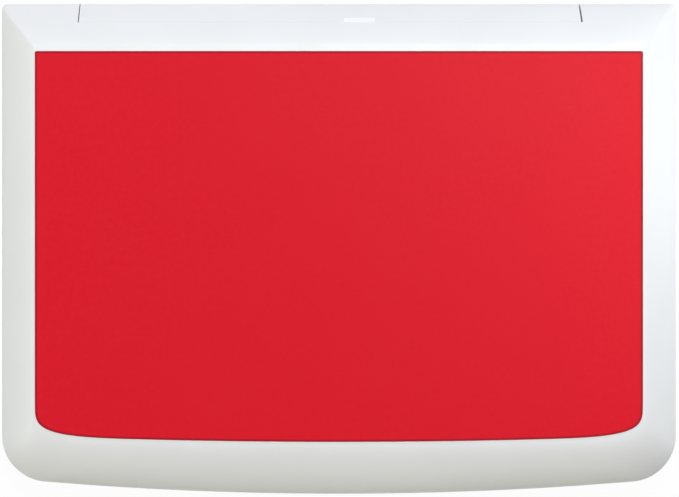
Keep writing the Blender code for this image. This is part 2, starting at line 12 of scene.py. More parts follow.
import bpy
import numpy as np
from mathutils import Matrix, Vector


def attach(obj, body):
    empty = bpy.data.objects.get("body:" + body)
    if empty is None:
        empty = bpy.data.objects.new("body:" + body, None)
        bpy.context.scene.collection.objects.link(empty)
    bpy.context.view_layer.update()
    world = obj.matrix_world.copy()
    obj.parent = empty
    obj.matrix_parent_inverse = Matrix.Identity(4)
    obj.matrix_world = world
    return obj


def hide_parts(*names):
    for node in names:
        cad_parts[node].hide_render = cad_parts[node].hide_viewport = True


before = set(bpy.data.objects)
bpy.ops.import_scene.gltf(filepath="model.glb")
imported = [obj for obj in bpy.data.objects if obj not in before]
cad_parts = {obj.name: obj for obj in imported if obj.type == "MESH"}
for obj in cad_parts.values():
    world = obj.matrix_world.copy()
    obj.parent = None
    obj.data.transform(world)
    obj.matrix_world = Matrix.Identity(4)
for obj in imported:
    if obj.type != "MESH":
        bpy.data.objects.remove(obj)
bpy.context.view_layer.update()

MM = 0.001
STRAIGHT = 0.0              # curvature of a front without a bow
ROUND = 2.0                 # power of a front corner that is a quarter circle
SHARP_ANGLE = 35.0          # degrees from which an edge stays sharp
WELD_DISTANCE = 0.000002    # metres

# Points of a ring in each front corner, back corner and side, and in the front and the back
CORNER, BACK_CORNER, SIDE, FRONT, BACK = 24, 6, 14, 40, 40
# Steps round a pin or an ejector mark, the notch, an ear's foot and the hinge block's top
PIN_STEPS, NOTCH_STEPS, EAR_STEPS, BLOCK_STEPS = 48, 144, 32, 24

# Case
HALF_WIDTH, BACK_Y, FRONT_Y = 66.0, 47.999, -47.999
BOW = 1.0 / 690.0
FRONT_RADIUS, BACK_RADIUS = 8.2, 1.1
WALL = 1.6

# Lid, from the rim up to the label; the slopes' widths are as seen from above
RIM_Z, BAND_Z, EDGE_Z, TOP_Z = 9.4, 11.0, 17.84, 18.0
INNER_BAND_Z, CEILING_Z = 10.4, 16.2
SLOPE_SIDE, SLOPE_BACK, SLOPE_FRONT = 6.85, 8.7, 10.3
SIDE_ROUNDNESS, FRONT_ROUNDNESS = 1.25, 1.5
SLOPE_ROWS = 33
CEILING_INSET = 0.3         # from the slopes' top edge in to the ceiling's edge
BACK_TIGHTENING = 0.7       # share of the back radius that is lost on the way up
LOWER_ROUND = 1.25          # rounding between the upright band and the slopes
LONG_ROUND = 0.78           # share of a side that this rounding may take
FOLD = 6                    # first row of the slopes above it
SEAL_RIB, SEAL_Z, SEAL_ROOT = 1.2, 10.5, 0.6
EJECTOR_RADIUS, EJECTOR_MARK = 2.4, 0.08
EJECTOR_X, EJECTOR_Y = (-43.0, 0.0, 43.0), (-24.0, 23.0)

# Lid's label: its outline, its pocket and the rings of its face, as insets
LABEL_HALF_WIDTH, LABEL_BACK, LABEL_FRONT, LABEL_BOW = 58.6, 38.099, -37.199, 1.0 / 1500.0
LABEL_REACH, LABEL_SIDE, LABEL_POWER, LABEL_BACK_RADIUS = 25.0, 7.0, 4.7, 0.3
LABEL_LEAST_RADIUS = 0.1
LABEL_POCKET, LABEL_CLEARANCE = 0.35, 0.05
LAND_SIDE = 0.5             # how much larger than the label's the lid's front corners are on top
LABEL_BED, LABEL_THICKNESS, LABEL_MARGIN = 0.05, 0.2, 0.025
LABEL_EDGE, LABEL_RINGS = 0.12, (0.25, 0.38, 0.55, 2.0)
LABEL_EDGE_SHADE_FADE = (0.4, 0.0, 0.0)    # how much of the rim's painted edge shade the last three rings have

# Label underneath
UNDER_WIDTH, UNDER_DEPTH, UNDER_RADIUS = 72.0, 44.0, 3.0
UNDER_LOW, UNDER_HIGH, UNDER_PLAY, UNDER_INSET = 0.1, 0.3, 0.2, 0.5

# Hinge
HINGE_Y, HINGE_Z = 45.399, 8.8
NOTCH_RADIUS, BLOCK_RADIUS = 6.54, 6.5
NOTCH_LEFT, NOTCH_RIGHT, BLOCK_LEFT, BLOCK_RIGHT = -50.66, 47.3, -50.46, 46.98
SLIT_FRONT, SLIT_LEAN = 44.34, 0.06
EAR_THICKNESS, EAR_RADIUS, EAR_BORE = 3.0, 2.5, 1.1
EAR_WEB = (0.15, 0.3, 0.45, 0.6, 0.75)      # shares of the back slope that an ear's top follows
EAR_SIDE_STEPS = 8
PIN_RADIUS, PIN_SEAT = 1.0, 5.0
PIN_TIP, PIN_ROUND = 0.55, 0.45             # flat and rounded shares of a pin's end, of its radius
BLOCK_FOOT_Z, BOSS_END = 0.8, 2.0
CORES, CORE_RIB, CORE_HEIGHT = 7, 1.6, 2.4  # pockets in the block's foot, up past the hinge line
FLAT_ENDS, FLAT_DROP, FLAT_SLOPE = (1.0, 7.0), 0.75, 0.26    # small flat by the notch's edge

# Base
BASE_HALF_WIDTH, BASE_BACK, BASE_FRONT, BASE_TOP = 65.6, 42.331, -46.799, 9.0
FLOOR_Z, FLOOR_MARGIN = 1.6, 4.0
FOOT_INSET, FOOT_HEIGHT, DRAFT = 1.6, 1.5, 0.5
LEAST_RADIUS = 0.3

# Tray
TRAY_HALF_WIDTH, TRAY_BACK, TRAY_FRONT, TRAY_RADIUS = 63.7, 40.431, -44.899, 6.3
DECK_Z, DECK_UNDER_Z, LIP_Z, LIP = 8.2, 7.0, 10.0, 1.0
WELL_Z, WELL_FLOOR_Z, WELL_INSET, TRAY_WALL = 1.8, 3.0, 0.2, 1.2

# Snap hook on the lid, and its slot in the tray
HOOK_FRONT, HOOK_BACK, HOOK_HALF = -41.932, -40.732, 8.0
HOOK_REACH, HOOK_HEAD, HOOK_PLAY = 0.8, 1.0, 0.35
SLOT_LOW, SLOT_HIGH, SLOT_END_PLAY = 6.0, 9.0, 0.6

# Pad: felt, cloth cover and frame
PAD_Y, PAD_WIDTH, PAD_DEPTH, PAD_RADIUS = -0.269, 110.0, 70.0, 3.0
PAD_EDGE_Z, PAD_CROWN, PAD_MARGIN, PAD_RINGS = 11.1, 0.5, 1.0, 40
UNEVENNESS, UNEVEN_RISE = 0.035, 4.0        # height of the waves, and how fast they set in
CLOTH, BRIM_Z, BRIM, BRIM_RADIUS = 0.5, 8.3, 2.9, 6.2
FELT_INSET, FELT_MARGIN, FELT_PLAY, FELT_RADIUS = 0.8, 3.0, 0.2, 2.5
FRAME_Z, FRAME_TOP_Z, FRAME_GAP, FRAME_BORDER = 8.9, 10.1, 0.3, 3.2
BEAD_HEIGHT, BEAD_TOP, BEAD_FOOT, BEAD_TOP_RADIUS, BEAD_FOOT_RADIUS = 0.25, 0.7, 0.9, 3.9, 4.0

# Colours
CASE_WHITE, TRAY_WHITE, FRAME_WHITE = (0.87, 0.885, 0.895), (0.82, 0.835, 0.84), (0.84, 0.855, 0.86)
# The second colour, the darker red at the label's edge, is painted shade for the shadow line at the
# pocket's edge.
PRINT_REDS, PRINT_EDGE_SHADE = ((0.748, 0.0117, 0.0266), (0.790, 0.0139, 0.0295)), (0.44, 0.012, 0.024)
PAPER_WHITES = ((0.72, 0.72, 0.69), (0.82, 0.82, 0.80))
# The darker cloth reds serve as painted shade between the threads; the wet patches shift them at
# random.
CLOTH_REDS = ((0.20, 0.002, 0.006), (0.40, 0.004, 0.011), (0.52, 0.007, 0.016))
FELT_REDS = ((0.14, 0.004, 0.008), (0.34, 0.012, 0.02))
STEEL_GREYS = ((0.50, 0.50, 0.51), (0.64, 0.64, 0.65))
PURE_WHITE, FLOOR_WHITE = (1.0, 1.0, 1.0, 1.0), (0.9, 0.9, 0.9, 1.0)
THREAD_PITCH = 0.00042      # metres

# Studio, in metres: the floor lies just below the case and glows for the camera
FLOOR_HALF, FLOOR_DROP, FLOOR_GLOW = 2.0, -0.0001, 0.96
SKY = 0.088
NEAR_LAMP = 0.1             # lamps of a smaller diameter stand close by
# Lamps: name, place, aim, diameter, power and colour
LAMPS = (
    ("right", (0.13, 0.027, 0.055), (0.062, 0.022, 0.014), 0.05, 0.03, (0.932, 0.977, 1.0)),
    ("back_left", (-0.1, 0.15, 0.07), (-0.04, 0.045, 0.014), 0.06, 0.0082, (1.0, 0.925, 0.917)),
    ("left", (-0.7, -0.3, 0.5), (0.0, 0.0, 0.0), 0.5, 1.96, (0.992, 1.0, 0.821)),
    ("front", (0.0, -0.85, 0.3), (0.0, 0.0, 0.0), 0.5, 0.44, (1.0, 0.863, 0.535)),
    ("back", (0.0, 0.8, 0.55), (0.0, 0.0, 0.0), 0.5, 0.86, (0.748, 0.844, 1.0)),
    ("high_back", (0.0, 0.5, 0.9), (0.0, 0.0, 0.0), 0.3, 4.56, (0.905, 0.92, 1.0)),
    ("high_right", (0.225, 0.2, 0.954), (0.0, 0.0, 0.0), 0.35, 2.56, (1.0, 0.962, 0.886)),
)

# Camera: the case is 674 of the picture's 679 pixels wide, where its outline is widest
CAMERA_HEIGHT, OUTLINE_HEIGHT, SENSOR = 0.5, 0.0105, 36.0
PICTURE_PIXELS, CASE_PIXELS, SHIFT_PIXELS = 679.0, 674.0, (0.6, 0.35)


def row(z, half_width, back, front, front_radius, back_radius, bow=BOW):
    """One ring of a table, with quarter circles as front corners."""
    return np.array([z, half_width, back, front, front_radius, front_radius, ROUND, back_radius,
                     bow], float)


def pad_row(z, width, depth, radius):
    """A ring that is a rounded rectangle about the middle of the pad."""
    return row(z, width / 2, PAD_Y + depth / 2, PAD_Y - depth / 2, radius, radius, STRAIGHT)


def pad_ring(z, out, radius):
    """A ring round the pad, a distance outside its edge."""
    return pad_row(z, PAD_WIDTH + 2 * out, PAD_DEPTH + 2 * out, radius)


def soften(corners, steps=5, closed=False, most=0.5):
    """Round the corners of a polyline, each given as a row and a radius: a corner becomes the
    parabola (1-t)^2 start + 2t(1-t) corner + t^2 end, whose ends lie that far along its two sides,
    and at most that share of a side. A radius of zero keeps the corner."""
    rows = [np.asarray(place, float) for place, _ in corners]
    t = np.linspace(0.0, 1.0, steps + 1)[:, None]
    out = []
    for k, (_, radius) in enumerate(corners):
        corner = rows[k]
        if radius == 0.0 or (not closed and k in (0, len(rows) - 1)):
            out.append(corner[None])
            continue
        before, after = rows[k - 1] - corner, rows[(k + 1) % len(rows)] - corner
        start = corner + before * min(most, radius / np.linalg.norm(before[:4]))
        end = corner + after * min(most, radius / np.linalg.norm(after[:4]))
        out.append((1 - t) ** 2 * start + 2 * t * (1 - t) * corner + t ** 2 * end)
    return np.concatenate(out)


def rings(table):
    """Points of every ring of a table at once, as an array of rings by columns by three.

    Counter-clockwise from the back right corner: corner arc, straight back, corner arc, straight
    side, front corner, bowed front, corner and side. The front is an arc of curvature k,
    sag = k x^2 / (1 + (1 - (k x)^2)^(1/2)). A front corner lifts off it along a superellipse:
    x = half width - reach (1 - sin^(2/n) a) and lift = side (1 - cos^(2/n) a).
    """
    z, w, back, front, reach, side, power, rb, bow = (table[:, i:i + 1] for i in range(9))
    turn = np.linspace(0.0, np.pi / 2, CORNER + 1)[None]
    bend = w - reach * (1.0 - np.sin(turn) ** (2.0 / power))
    lift = side * (1.0 - np.abs(np.cos(turn)) ** (2.0 / power))
    lift[:, -1:] = side
    middle = np.linspace(-1.0, 1.0, FRONT + 2)[None, 1:-1] * (w - reach)
    path = np.concatenate([-bend[:, ::-1], middle, bend], 1)
    sag = bow * path ** 2 / (1.0 + np.sqrt(1.0 - (bow * path) ** 2))
    path_y = front + sag + np.concatenate([lift[:, ::-1], 0 * middle, lift], 1)
    end = path_y[:, :1]
    quarter = np.linspace(0.0, np.pi / 2, BACK_CORNER + 1)[None]
    s = np.linspace(0.0, 1.0, SIDE + 2)[None, 1:-1]
    flat, top = w - rb, back - rb
    across = np.linspace(1.0, -1.0, BACK + 2)[None, 1:-1] * flat
    x = [flat + rb * np.cos(quarter), across, -flat - rb * np.sin(quarter), -w + 0 * s, path,
         w + 0 * s]
    y = [top + rb * np.sin(quarter), back + 0 * across, top + rb * np.cos(quarter),
         top * (1 - s) + end * s, path_y, end * (1 - s) + top * s]
    x, y = np.concatenate(x, 1), np.concatenate(y, 1)
    return np.stack([x, y, z + 0 * x], -1)


def shell(grid, closed=False):
    """Points and faces of a skin over rings: quads between neighbouring rings, and a flat cap on
    the first and last ring, or quads from the last ring back to the first."""
    count, columns = grid.shape[:2]
    index = np.arange(count * columns).reshape(count, columns)
    if closed:
        index = np.concatenate([index, index[:1]])
    turned = np.roll(index, -1, 1)
    quads = np.stack([index[:-1], turned[:-1], turned[1:], index[1:]], -1)
    faces = quads.reshape(-1, 4).tolist()
    if not closed:
        faces += [index[0, ::-1].tolist(), index[-1].tolist()]
    return grid.reshape(-1, 3), faces


def piece(name, material, body, slot, replaced, main, *fused, cut=None, mark=None):
    """One object from a skin, less a cut and with others joined to it as solids, smooth but for its
    sharp edges, riding on a body. mark gives each point of the first skin a value for its
    material."""
    made = skin(name, *main)
    if mark is not None:
        values = made.data.attributes.new("mark", "FLOAT", "POINT").data
        values.foreach_set("value", mark.ravel())
    weld(made)
    steps = [(other, "UNION") for other in fused]
    for other, operation in ([(cut, "DIFFERENCE")] if cut else []) + steps:
        tool = skin("tool", *other)
        weld(tool)
        combine(made, tool, operation)
    made.data.materials.clear()
    made.data.materials.append(material)
    made.data.shade_smooth()
    made.data.set_sharp_from_angle(angle=math.radians(SHARP_ANGLE))
    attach(made, body)
    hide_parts(*replaced)
    return made


def skin(name, points, faces):
    """A mesh object from points in millimetres and faces."""
    mesh = bpy.data.meshes.new(name)
    mesh.from_pydata((points * MM).tolist(), [], faces)
    made = bpy.data.objects.new(name, mesh)
    bpy.context.scene.collection.objects.link(made)
    return made


def weld(made):
    """Merge points that share a place."""
    made.modifiers.new("weld", "WELD").merge_threshold = WELD_DISTANCE
    bake(made)


def combine(made, other, operation):
    """Join or cut an object with another one, which is used up."""
    step = made.modifiers.new("combine", "BOOLEAN")
    step.object, step.operation, step.solver = other, operation, "EXACT"
    bake(made)
    bpy.data.objects.remove(other)


def bake(made):
    """Put the result of an object's modifiers into its mesh."""
    graph = bpy.context.evaluated_depsgraph_get()
    mesh = bpy.data.meshes.new_from_object(made.evaluated_get(graph))
    made.modifiers.clear()
    made.data = mesh


def full_turn(steps):
    """Angles round a circle."""
    return np.linspace(0.0, 2 * np.pi, steps + 1)[:-1]


def about_hinge(radius, angle):
    """Places (y, z) on a circle about the hinge line in the side view."""
    return np.stack([HINGE_Y + radius * np.cos(angle), HINGE_Z + radius * np.sin(angle)], -1)


def prism(section, places):
    """A side view carried along X: the closed section (y, z) repeated at each place."""
    grid = np.empty((len(places), len(section), 3))
    grid[..., 0] = np.asarray(places)[:, None]
    grid[..., 1:] = section[None]
    return grid


def slope_inset(share, width, roundness):
    """Plan inset of a lid slope at a share of its height: width (1 - (1 - share^n)^(1/n))."""
    return width * (1.0 - (1.0 - share ** roundness) ** (1.0 / roundness))


def back_slope(share):
    """The back slope in the side view."""
    share = np.asarray(share, float)
    return np.stack([BACK_Y - slope_inset(share, SLOPE_BACK, SIDE_ROUNDNESS),
                     BAND_Z + (EDGE_Z - BAND_Z) * share], -1)


def slope_share_at(radius):
    """Share of the back slope's height that is a given distance from the hinge line."""
    share = np.linspace(0.0, 1.0, 4001)
    place = back_slope(share)
    return share[np.argmax(np.hypot(place[:, 0] - HINGE_Y, place[:, 1] - HINGE_Z) >= radius)]


def slope_shares():
    """Shares of the slope's height, closer together near the top edge."""
    return np.sin(np.linspace(0.0, np.pi / 2, SLOPE_ROWS)) ** (2.0 / SIDE_ROUNDNESS)


def lid_rows(z, side, back, front, share, cut):
    """Rows of the lid with an inset of their own on each side; the corners tighten upwards."""
    reach, run, power, bow = (low + (high - low) * share for low, high in (
        (FRONT_RADIUS, LABEL_REACH + LAND_SIDE), (FRONT_RADIUS, LABEL_SIDE + LAND_SIDE),
        (ROUND, LABEL_POWER), (BOW, LABEL_BOW)))
    back_radius = BACK_RADIUS * (1.0 - BACK_TIGHTENING * share)
    return np.stack([z, HALF_WIDTH - side, BACK_Y - back, FRONT_Y + front, reach - cut, run - cut,
                     power, back_radius, bow], -1)


def lid_table():
    """The lid from its ceiling down inside, round the rim, up the slopes and into the label's
    pocket."""
    share = slope_shares()
    side, back = (slope_inset(share, w, SIDE_ROUNDNESS) for w in (SLOPE_SIDE, SLOPE_BACK))
    front = slope_inset(share, SLOPE_FRONT, FRONT_ROUNDNESS)
    height = BAND_Z + (EDGE_Z - BAND_Z) * share
    outer = lid_rows(height, side, back, front, side / SLOPE_SIDE, 0.0)
    share = share[::-1]
    room = CEILING_INSET - WALL
    side, back = (WALL + slope_inset(share, w + room, SIDE_ROUNDNESS)
                  for w in (SLOPE_SIDE, SLOPE_BACK))
    front = WALL + slope_inset(share, SLOPE_FRONT + room, FRONT_ROUNDNESS)
    height = INNER_BAND_Z + (CEILING_Z - INNER_BAND_Z) * share
    inner = lid_rows(height, side, back, front, side / SLOPE_SIDE, WALL * (1.0 - share))
    rim = [lid_rows(RIM_Z, inset, inset, inset, 0.0, inset) for inset in (WALL, 0.0)]
    edge = soften([(inner[-1], 0.0), (rim[0], 0.25), (rim[1], 0.35), (outer[0], LOWER_ROUND),
                   (outer[FOLD], 0.0)], 8, most=LONG_ROUND)[1:-1]
    pocket = [label_row(z, LABEL_CLEARANCE) for z in (TOP_Z, TOP_Z - LABEL_POCKET)]
    top = soften([(outer[-1], 0.0), (pocket[0], 0.04), (pocket[1], 0.0)])[1:]
    return np.concatenate([inner, edge, outer[FOLD:], top])


def rib_table():
    """The seal rib under the lid's ceiling, as a closed section over the middle of the frame."""
    middle, high = FRAME_GAP + FRAME_BORDER / 2, CEILING_Z + SEAL_ROOT
    inside, outside = middle - SEAL_RIB / 2, middle + SEAL_RIB / 2
    return soften([
        (pad_ring(high, inside, PAD_RADIUS), 0.0),
        (pad_ring(SEAL_Z, inside, PAD_RADIUS), 0.4),
        (pad_ring(SEAL_Z, outside, PAD_RADIUS + SEAL_RIB), 0.4),
        (pad_ring(high, outside, PAD_RADIUS + SEAL_RIB), 0.0)], closed=True)


def label_row(z, margin):
    """Outline of the lid's label, grown by a margin."""
    return np.array([z, LABEL_HALF_WIDTH + margin, LABEL_BACK + margin, LABEL_FRONT - margin,
                     LABEL_REACH + margin, LABEL_SIDE + margin, LABEL_POWER,
                     max(LABEL_BACK_RADIUS + margin, LABEL_LEAST_RADIUS), LABEL_BOW])


def label_grid():
    """The lid's label: cut edge, rounded upper edge and flat face, with rings close together at
    its rim. With it comes a value for each point, its share of painted edge shade: one on the rim
    and zero on the face."""
    low = TOP_Z - LABEL_POCKET + LABEL_BED
    high = low + LABEL_THICKNESS
    edge = soften([(label_row(low, LABEL_MARGIN), 0.0), (label_row(high, LABEL_MARGIN), 0.06),
                   (label_row(high, -LABEL_EDGE), 0.0)])
    face = [label_row(high, -inset) for inset in LABEL_RINGS]
    grid = rings(np.concatenate([edge, face]))
    rim = np.ones(grid.shape[:2])
    rim[-len(LABEL_EDGE_SHADE_FADE):] = np.array(LABEL_EDGE_SHADE_FADE)[:, None]
    return grid, rim


def under_label_table():
    """The label underneath, up from its lower face, whose edge is rounded."""
    inside = pad_row(UNDER_LOW, UNDER_WIDTH - 2 * UNDER_INSET, UNDER_DEPTH - 2 * UNDER_INSET,
                     UNDER_RADIUS - UNDER_INSET)
    edge = [pad_row(z, UNDER_WIDTH, UNDER_DEPTH, UNDER_RADIUS) for z in (UNDER_LOW, UNDER_HIGH)]
    return soften([(inside, 0.0), (edge[0], 0.06), (edge[1], 0.0)])


def lean_right_end(grid):
    """Lean the right end of the hinge's notch or block in to the back: x - lean (y - front)."""
    grid[-1, :, 0] -= SLIT_LEAN * (grid[-1, :, 1] - SLIT_FRONT)


def notch_shell():
    """What the hinge notch takes out of the lid: a rod about the hinge line."""
    grid = prism(about_hinge(NOTCH_RADIUS, full_turn(NOTCH_STEPS)), [NOTCH_LEFT, NOTCH_RIGHT])
    lean_right_end(grid)
    return shell(grid)


def ear_shell(left, right):
    """A hinge ear with its bore: the outline round the pin and up into the slope, and a circle with
    a point in the same direction as each outline point, joined on both faces."""
    web = back_slope(EAR_WEB) - WALL / 2
    web = web[np.abs(web[:, 0] - HINGE_Y) < EAR_RADIUS]
    foot = about_hinge(EAR_RADIUS, np.linspace(np.pi, 2 * np.pi, EAR_STEPS + 1))
    corners = np.concatenate([foot[-1:], web, [[HINGE_Y - EAR_RADIUS, web[-1, 1]]], foot[:1]])
    along = np.linspace(0.0, 1.0, EAR_SIDE_STEPS + 1)[:-1, None]
    upper = corners[:-1, None] + along * (corners[1:, None] - corners[:-1, None])
    outline = np.concatenate([foot[:-1], upper.reshape(-1, 2)])
    bore = about_hinge(EAR_BORE, np.arctan2(outline[:, 1] - HINGE_Z, outline[:, 0] - HINGE_Y))
    grid = np.concatenate([prism(outline, [left, right]), prism(bore, [right, left])])
    return shell(grid, closed=True)


def ejector_shell(x, y):
    """The mark of an ejector under the lid's ceiling: a low flat disc."""
    angle = full_turn(PIN_STEPS)
    circle = np.stack([x + EJECTOR_RADIUS * np.cos(angle), y + EJECTOR_RADIUS * np.sin(angle),
                       0 * angle], -1)
    heights = (CEILING_Z - EJECTOR_MARK, CEILING_Z + WALL / 4)
    return shell(np.stack([circle + (0.0, 0.0, z) for z in heights]))


def hook_shell():
    """The snap hook: a tongue down from the front slope with a wedge head below the deck."""
    catch = DECK_UNDER_Z - HOOK_PLAY
    section = soften([
        ((HOOK_BACK, catch - HOOK_HEAD), 0.3), ((HOOK_BACK, CEILING_Z), 0.0),
        ((HOOK_FRONT, CEILING_Z - WALL / 2), 0.0), ((HOOK_FRONT, catch), 0.15),
        ((HOOK_FRONT - HOOK_REACH, catch), 0.15), ((HOOK_FRONT, catch - HOOK_HEAD), 0.3)],
        closed=True)
    return shell(prism(section, [-HOOK_HALF, HOOK_HALF]))


def slot_shell():
    """What the hook's slot takes out of the tray's deck: a bar."""
    front, back, end = HOOK_FRONT - HOOK_PLAY, HOOK_BACK + HOOK_PLAY, HOOK_HALF + SLOT_END_PLAY
    section = np.array([(front, SLOT_LOW), (back, SLOT_LOW), (back, SLOT_HIGH), (front, SLOT_HIGH)])
    return shell(prism(section, [-end, end]))


def block_shell():
    """The hinge block: foot, back, lid slope, notch arc and front as a side view, carried along X.
    Between two places of the same X the view changes: a core pocket lifts two points of the foot,
    and the small flat by the notch's edge cuts the top off along a line."""
    front, near, far = BASE_BACK - WALL / 2, BASE_BACK + WALL / 2, BACK_Y - WALL
    edge = slope_share_at(BLOCK_RADIUS)
    edge_y, edge_z = back_slope(edge)
    start = math.atan2(edge_z - HINGE_Z, edge_y - HINGE_Y)
    end = math.acos((front - HINGE_Y) / BLOCK_RADIUS)
    fold = slope_shares()[FOLD]
    foot = np.array([(y, BLOCK_FOOT_Z) for y in (front, near, near, far, far)])
    corner = soften([(foot[-1], 0.0), ((BACK_Y, BLOCK_FOOT_Z), 0.4), ((BACK_Y, RIM_Z), 0.0),
                     ((BACK_Y, BAND_Z), LOWER_ROUND), (back_slope(fold), 0.0)],
                    8, most=LONG_ROUND)[1:-1]
    slope = back_slope(np.linspace(fold, edge, 30))
    notch = about_hinge(BLOCK_RADIUS, np.linspace(start, end, BLOCK_STEPS + 1))[1:]
    section = np.concatenate([foot, corner, slope, notch])

    boss = PIN_SEAT + BOSS_END
    pitch = (BLOCK_RIGHT - BLOCK_LEFT - 2 * boss + CORE_RIB) / CORES
    starts = BLOCK_LEFT + boss + pitch * np.arange(CORES)
    ends = starts + pitch - CORE_RIB
    stops = np.unique(np.concatenate([[BLOCK_LEFT], starts, ends, FLAT_ENDS, [BLOCK_RIGHT]]))
    middle = (stops[:-1] + stops[1:]) / 2
    hollow = np.repeat(((middle[:, None] > starts) & (middle[:, None] < ends)).any(1), 2)
    level = np.repeat((middle > FLAT_ENDS[0]) & (middle < FLAT_ENDS[1]), 2)
    grid = prism(section, np.stack([stops[:-1], stops[1:]], -1).ravel())
    lean_right_end(grid)
    grid[hollow, 2:4, 2] = HINGE_Z + CORE_HEIGHT
    low_y, low_z = back_slope(edge - FLAT_DROP / (EDGE_Z - BAND_Z))
    flat = low_z + FLAT_SLOPE * (low_y - grid[level, :, 1])
    grid[level, :, 2] = np.minimum(grid[level, :, 2], flat)
    return shell(grid)


def base_row(z, inset):
    """One ring of the base."""
    return row(z, BASE_HALF_WIDTH - inset, BASE_BACK - inset, BASE_FRONT + inset,
               FRONT_RADIUS - inset, max(BACK_RADIUS - inset, LEAST_RADIUS))


def base_table():
    """The base from its underside label's pocket, round the foot, up the drafted wall, over the top
    edge and down inside to the floor."""
    pocket = [pad_row(z, UNDER_WIDTH + 2 * UNDER_PLAY, UNDER_DEPTH + 2 * UNDER_PLAY,
                      UNDER_RADIUS + UNDER_PLAY) for z in (LABEL_POCKET, 0.0)]
    return soften([
        (pocket[0], 0.0), (pocket[1], 0.1),
        (base_row(0.0, FOOT_INSET), 0.9), (base_row(FOOT_HEIGHT, DRAFT), 0.7),
        (base_row(BASE_TOP, 0.0), 0.3), (base_row(BASE_TOP, WALL), 0.3),
        (base_row(FLOOR_Z, WALL + DRAFT), 0.8),
        (base_row(FLOOR_Z, WALL + DRAFT + FLOOR_MARGIN), 0.0)], 8)


def tray_row(z, inset):
    """One ring of the tray's outer edge."""
    return row(z, TRAY_HALF_WIDTH - inset, TRAY_BACK - inset, TRAY_FRONT + inset,
               TRAY_RADIUS - inset, max(BACK_RADIUS - inset, LEAST_RADIUS))


def tray_table():
    """The tray from under its well, out along the deck's underside, over the lip, in along the deck
    and down into the well."""
    outside, outer_radius = TRAY_WALL - WELL_INSET, PAD_RADIUS + TRAY_WALL
    return soften([
        (pad_ring(WELL_Z, outside, outer_radius), 0.0),
        (pad_ring(DECK_UNDER_Z, outside, outer_radius), 0.3),
        (tray_row(DECK_UNDER_Z, 0.0), 0.2), (tray_row(LIP_Z, 0.0), 0.3),
        (tray_row(LIP_Z, LIP), 0.3), (tray_row(DECK_Z, LIP), 0.5),
        (pad_ring(DECK_Z, -WELL_INSET, PAD_RADIUS), 0.2),
        (pad_ring(WELL_FLOOR_Z, -WELL_INSET, PAD_RADIUS), 0.0)])


def frame_table():
    """The frame's section: flat underneath, rounded on top, with a raised inner bead."""
    low, outer = FRAME_TOP_Z - BEAD_HEIGHT, FRAME_GAP + FRAME_BORDER
    inner_radius, outer_radius = PAD_RADIUS + FRAME_GAP, PAD_RADIUS + FRAME_BORDER
    return soften([
        (pad_ring(FRAME_Z, FRAME_GAP, inner_radius), 0.15),
        (pad_ring(FRAME_Z, outer, outer_radius), 0.2),
        (pad_ring(low, outer, outer_radius), 0.45),
        (pad_ring(low, FRAME_GAP + BEAD_FOOT, BEAD_FOOT_RADIUS), 0.3),
        (pad_ring(FRAME_TOP_Z, FRAME_GAP + BEAD_TOP, BEAD_TOP_RADIUS), 0.2),
        (pad_ring(FRAME_TOP_Z, FRAME_GAP, inner_radius), 0.3)], closed=True)


def cover_grid():
    """The cloth cover: inside, brim, upright side and round edge as rings, then a top whose rings
    close on a line. The top rises by crown (1 - (1 - s)^2) from edge to middle, with a shallow
    unevenness of three crossed waves that fades out at the edge."""
    s = np.linspace(0.0, 1.0, PAD_RINGS + 1)[1:, None]
    body = soften([
        (pad_ring(PAD_EDGE_Z - CLOTH, -CLOTH, PAD_RADIUS - CLOTH), 0.0),
        (pad_ring(BRIM_Z, -CLOTH, PAD_RADIUS - CLOTH), 0.2),
        (pad_ring(BRIM_Z, BRIM, BRIM_RADIUS), 0.2),
        (pad_ring(BRIM_Z + CLOTH, BRIM, BRIM_RADIUS), 0.2),
        (pad_ring(BRIM_Z + CLOTH, 0.0, PAD_RADIUS), 0.3),
        (pad_ring(PAD_EDGE_Z, 0.0, PAD_RADIUS), 0.8),
        (pad_ring(PAD_EDGE_Z, -PAD_MARGIN, PAD_RADIUS), 0.0)], 8)
    half_depth = (PAD_DEPTH / 2 - PAD_MARGIN) * (1.0 - s)
    half_width = (PAD_WIDTH - PAD_DEPTH) / 2 + half_depth
    radius = np.minimum(PAD_RADIUS, half_depth)
    height = PAD_EDGE_Z + PAD_CROWN * (1.0 - (1.0 - s) ** 2)
    top = np.concatenate([height, half_width, PAD_Y + half_depth, PAD_Y - half_depth, radius,
                          radius, ROUND + 0 * s, radius, STRAIGHT + 0 * s], 1)
    grid = rings(np.concatenate([body, top]))
    x, y = grid[len(body):, :, 0], grid[len(body):, :, 1]
    uneven = (np.sin(x / 9.0 + 0.6) * np.sin(y / 7.0) + np.sin(x / 5.1 - y / 6.3)
              + 0.7 * np.sin(x / 3.7 + y / 4.4))
    grid[len(body):, :, 2] += UNEVENNESS * uneven * np.minimum(1.0, UNEVEN_RISE * s)
    return grid


def felt_table():
    """The felt block, with soft edges."""
    low, high = WELL_FLOOR_Z + FELT_PLAY, PAD_EDGE_Z - CLOTH - FELT_PLAY
    flat = -FELT_INSET - FELT_MARGIN
    return soften([
        (pad_ring(low, flat, FELT_RADIUS), 0.0), (pad_ring(low, -FELT_INSET, FELT_RADIUS), 0.6),
        (pad_ring(high, -FELT_INSET, FELT_RADIUS), 0.6), (pad_ring(high, flat, FELT_RADIUS), 0.0)])


def pin_shell(left, right):
    """A turned pin along X: radius against length, with both ends rounded."""
    turn = np.linspace(0.0, np.pi / 2, 6)
    rounding = PIN_RADIUS * PIN_ROUND
    radius = PIN_RADIUS * PIN_TIP + rounding * np.concatenate([np.sin(turn), np.cos(turn)])
    place = np.concatenate([left + rounding * (1.0 - np.cos(turn)),
                            right - rounding * (1.0 - np.sin(turn))])
    angle = full_turn(PIN_STEPS)
    circle = about_hinge(radius[:, None], angle)
    return shell(np.concatenate([(place[:, None] + 0 * angle)[..., None], circle], -1))


